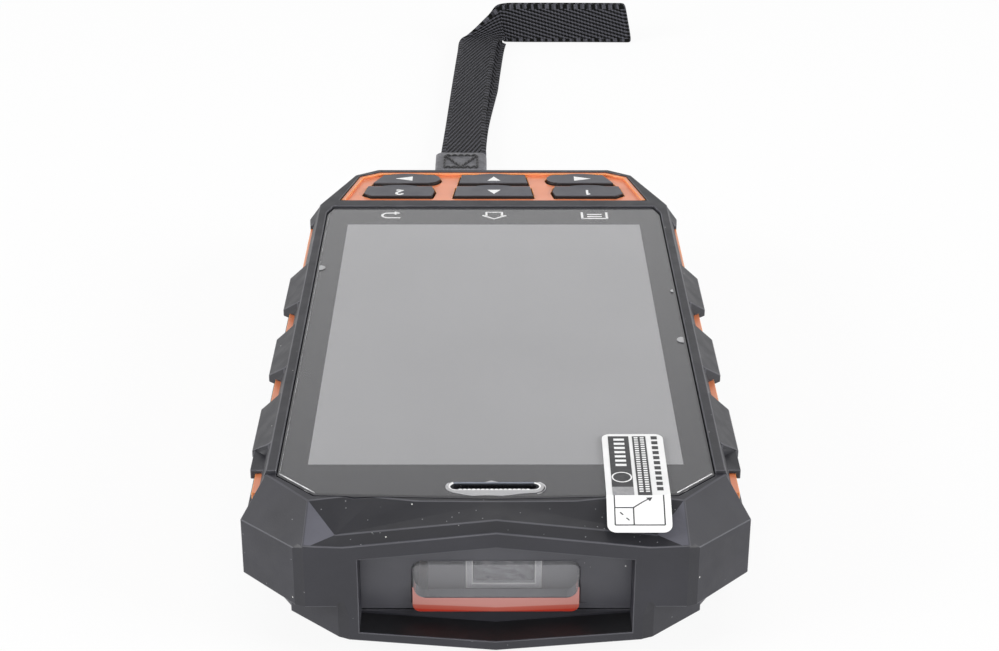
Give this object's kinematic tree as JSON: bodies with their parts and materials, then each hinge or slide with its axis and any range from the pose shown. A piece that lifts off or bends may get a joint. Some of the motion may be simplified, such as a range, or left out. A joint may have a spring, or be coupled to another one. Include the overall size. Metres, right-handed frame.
{
  "type": "handheld tag reader",
  "caption": "Rugged handheld tag reader with a touch screen, a scanning head, a keypad, side keys, a hinged port door and a webbing wrist strap.",
  "frame": {"origin": "under the middle of the case, on the surface that it lies on", "axes": "+Z out of the screen, +Y from the scanning head to the keypad end, +X to the right seen from the head with the screen up"},
  "size_m": [0.0726, 0.2832, 0.0225],
  "materials": {
    "case_black": "fine moulded texture",
    "head_black": "fine moulded texture, soft sheen",
    "case_orange": "smooth moulded plastic",
    "key_grey": "satin rubber with white marks",
    "seal_rubber": "soft silicone",
    "screw_steel": "plated",
    "touch_glass": "polished, dark border printed behind",
    "film_clear": "thin protective film",
    "tab_white": "printed paper-backed film",
    "tape_black": "foam tape",
    "display_grey": "unlit display",
    "sheet_metal": "plain sheet",
    "mesh_black": "woven mesh",
    "circuit_board": "solder mask",
    "part_black": "moulded",
    "panel_grey": "satin",
    "window_clear": "clear, polished",
    "gasket_red": "soft",
    "engine_white": "cast housing",
    "ferrite": "sintered",
    "copper_winding": "enamelled wire",
    "lens_dark": "polished",
    "battery_grey": "shrink sleeve",
    "contact_gold": "plated",
    "cord_black": "braided cord",
    "patch_leather": "grained, sewn",
    "webbing_black": "twill webbing"
  },
  "bodies": {
    "case": {"front_frame": "case_black", "rear_shell": "case_black", "battery_cover": "case_black", "head_cap": "head_black", "mid_shell": "case_orange", "keypad_plate": "case_orange", "case_seal": "seal_rubber", "battery_seal": "seal_rubber", "key_mat": "seal_rubber", "case_screws": "screw_steel", "battery_cover_screws": "screw_steel", "port_door_pin": "screw_steel", "lanyard_bar": "screw_steel", "touch_glass": "touch_glass", "screen_film": "film_clear", "film_pull_tab": "tab_white", "screen_adhesive": "tape_black", "display_panel": "display_grey", "chassis_plate": "sheet_metal", "engine_bracket": "sheet_metal", "shield_cans": "sheet_metal", "charging_socket": "sheet_metal", "vibration_motor": "sheet_metal", "earpiece_speaker": "sheet_metal", "earpiece_mesh": "mesh_black", "key_board": "circuit_board", "main_board": "circuit_board", "reader_board": "circuit_board", "side_switch_left": "part_black", "side_switch_right": "part_black", "camera_module": "part_black", "loudspeaker": "part_black", "window_panel": "panel_grey", "scan_window": "window_clear", "window_gasket": "gasket_red", "scan_engine": "engine_white", "antenna_core": "ferrite", "antenna_coil": "copper_winding", "camera_lens": "lens_dark", "battery": "battery_grey", "battery_contacts": "contact_gold", "strap_cord": "cord_black", "strap_patch": "patch_leather", "strap_webbing": "webbing_black"},
    "key_left": {"key_left": "key_grey"},
    "key_up": {"key_up": "key_grey"},
    "key_right": {"key_right": "key_grey"},
    "key_one": {"key_one": "key_grey"},
    "key_down": {"key_down": "key_grey"},
    "key_two": {"key_two": "key_grey"},
    "side_key_left": {"side_key_left": "case_orange"},
    "side_key_right": {"side_key_right": "case_orange"},
    "port_door": {"port_door": "case_black"}
  },
  "joints": [
    {"name": "key_left_press", "type": "slide", "parent": "case", "child": "key_left", "axis": [0, 0, -1], "range_m": [0, 0.0004], "stiffness_N_per_m": 800},
    {"name": "key_up_press", "type": "slide", "parent": "case", "child": "key_up", "axis": [0, 0, -1], "range_m": [0, 0.0004], "stiffness_N_per_m": 800},
    {"name": "key_right_press", "type": "slide", "parent": "case", "child": "key_right", "axis": [0, 0, -1], "range_m": [0, 0.0004], "stiffness_N_per_m": 800},
    {"name": "key_one_press", "type": "slide", "parent": "case", "child": "key_one", "axis": [0, 0, -1], "range_m": [0, 0.0004], "stiffness_N_per_m": 800},
    {"name": "key_down_press", "type": "slide", "parent": "case", "child": "key_down", "axis": [0, 0, -1], "range_m": [0, 0.0004], "stiffness_N_per_m": 800},
    {"name": "key_two_press", "type": "slide", "parent": "case", "child": "key_two", "axis": [0, 0, -1], "range_m": [0, 0.0004], "stiffness_N_per_m": 800},
    {"name": "side_key_left_press", "type": "slide", "parent": "case", "child": "side_key_left", "axis": [1, 0, 0], "range_m": [0, 0.0004], "stiffness_N_per_m": 800},
    {"name": "side_key_right_press", "type": "slide", "parent": "case", "child": "side_key_right", "axis": [-1, 0, 0], "range_m": [0, 0.0004], "stiffness_N_per_m": 800},
    {"name": "port_door_hinge", "type": "hinge", "parent": "case", "child": "port_door", "pos_m": [0.01, 0.0629, 0.0052], "axis": [-1, 0, 0], "range_deg": [0, 100]}
  ]
}
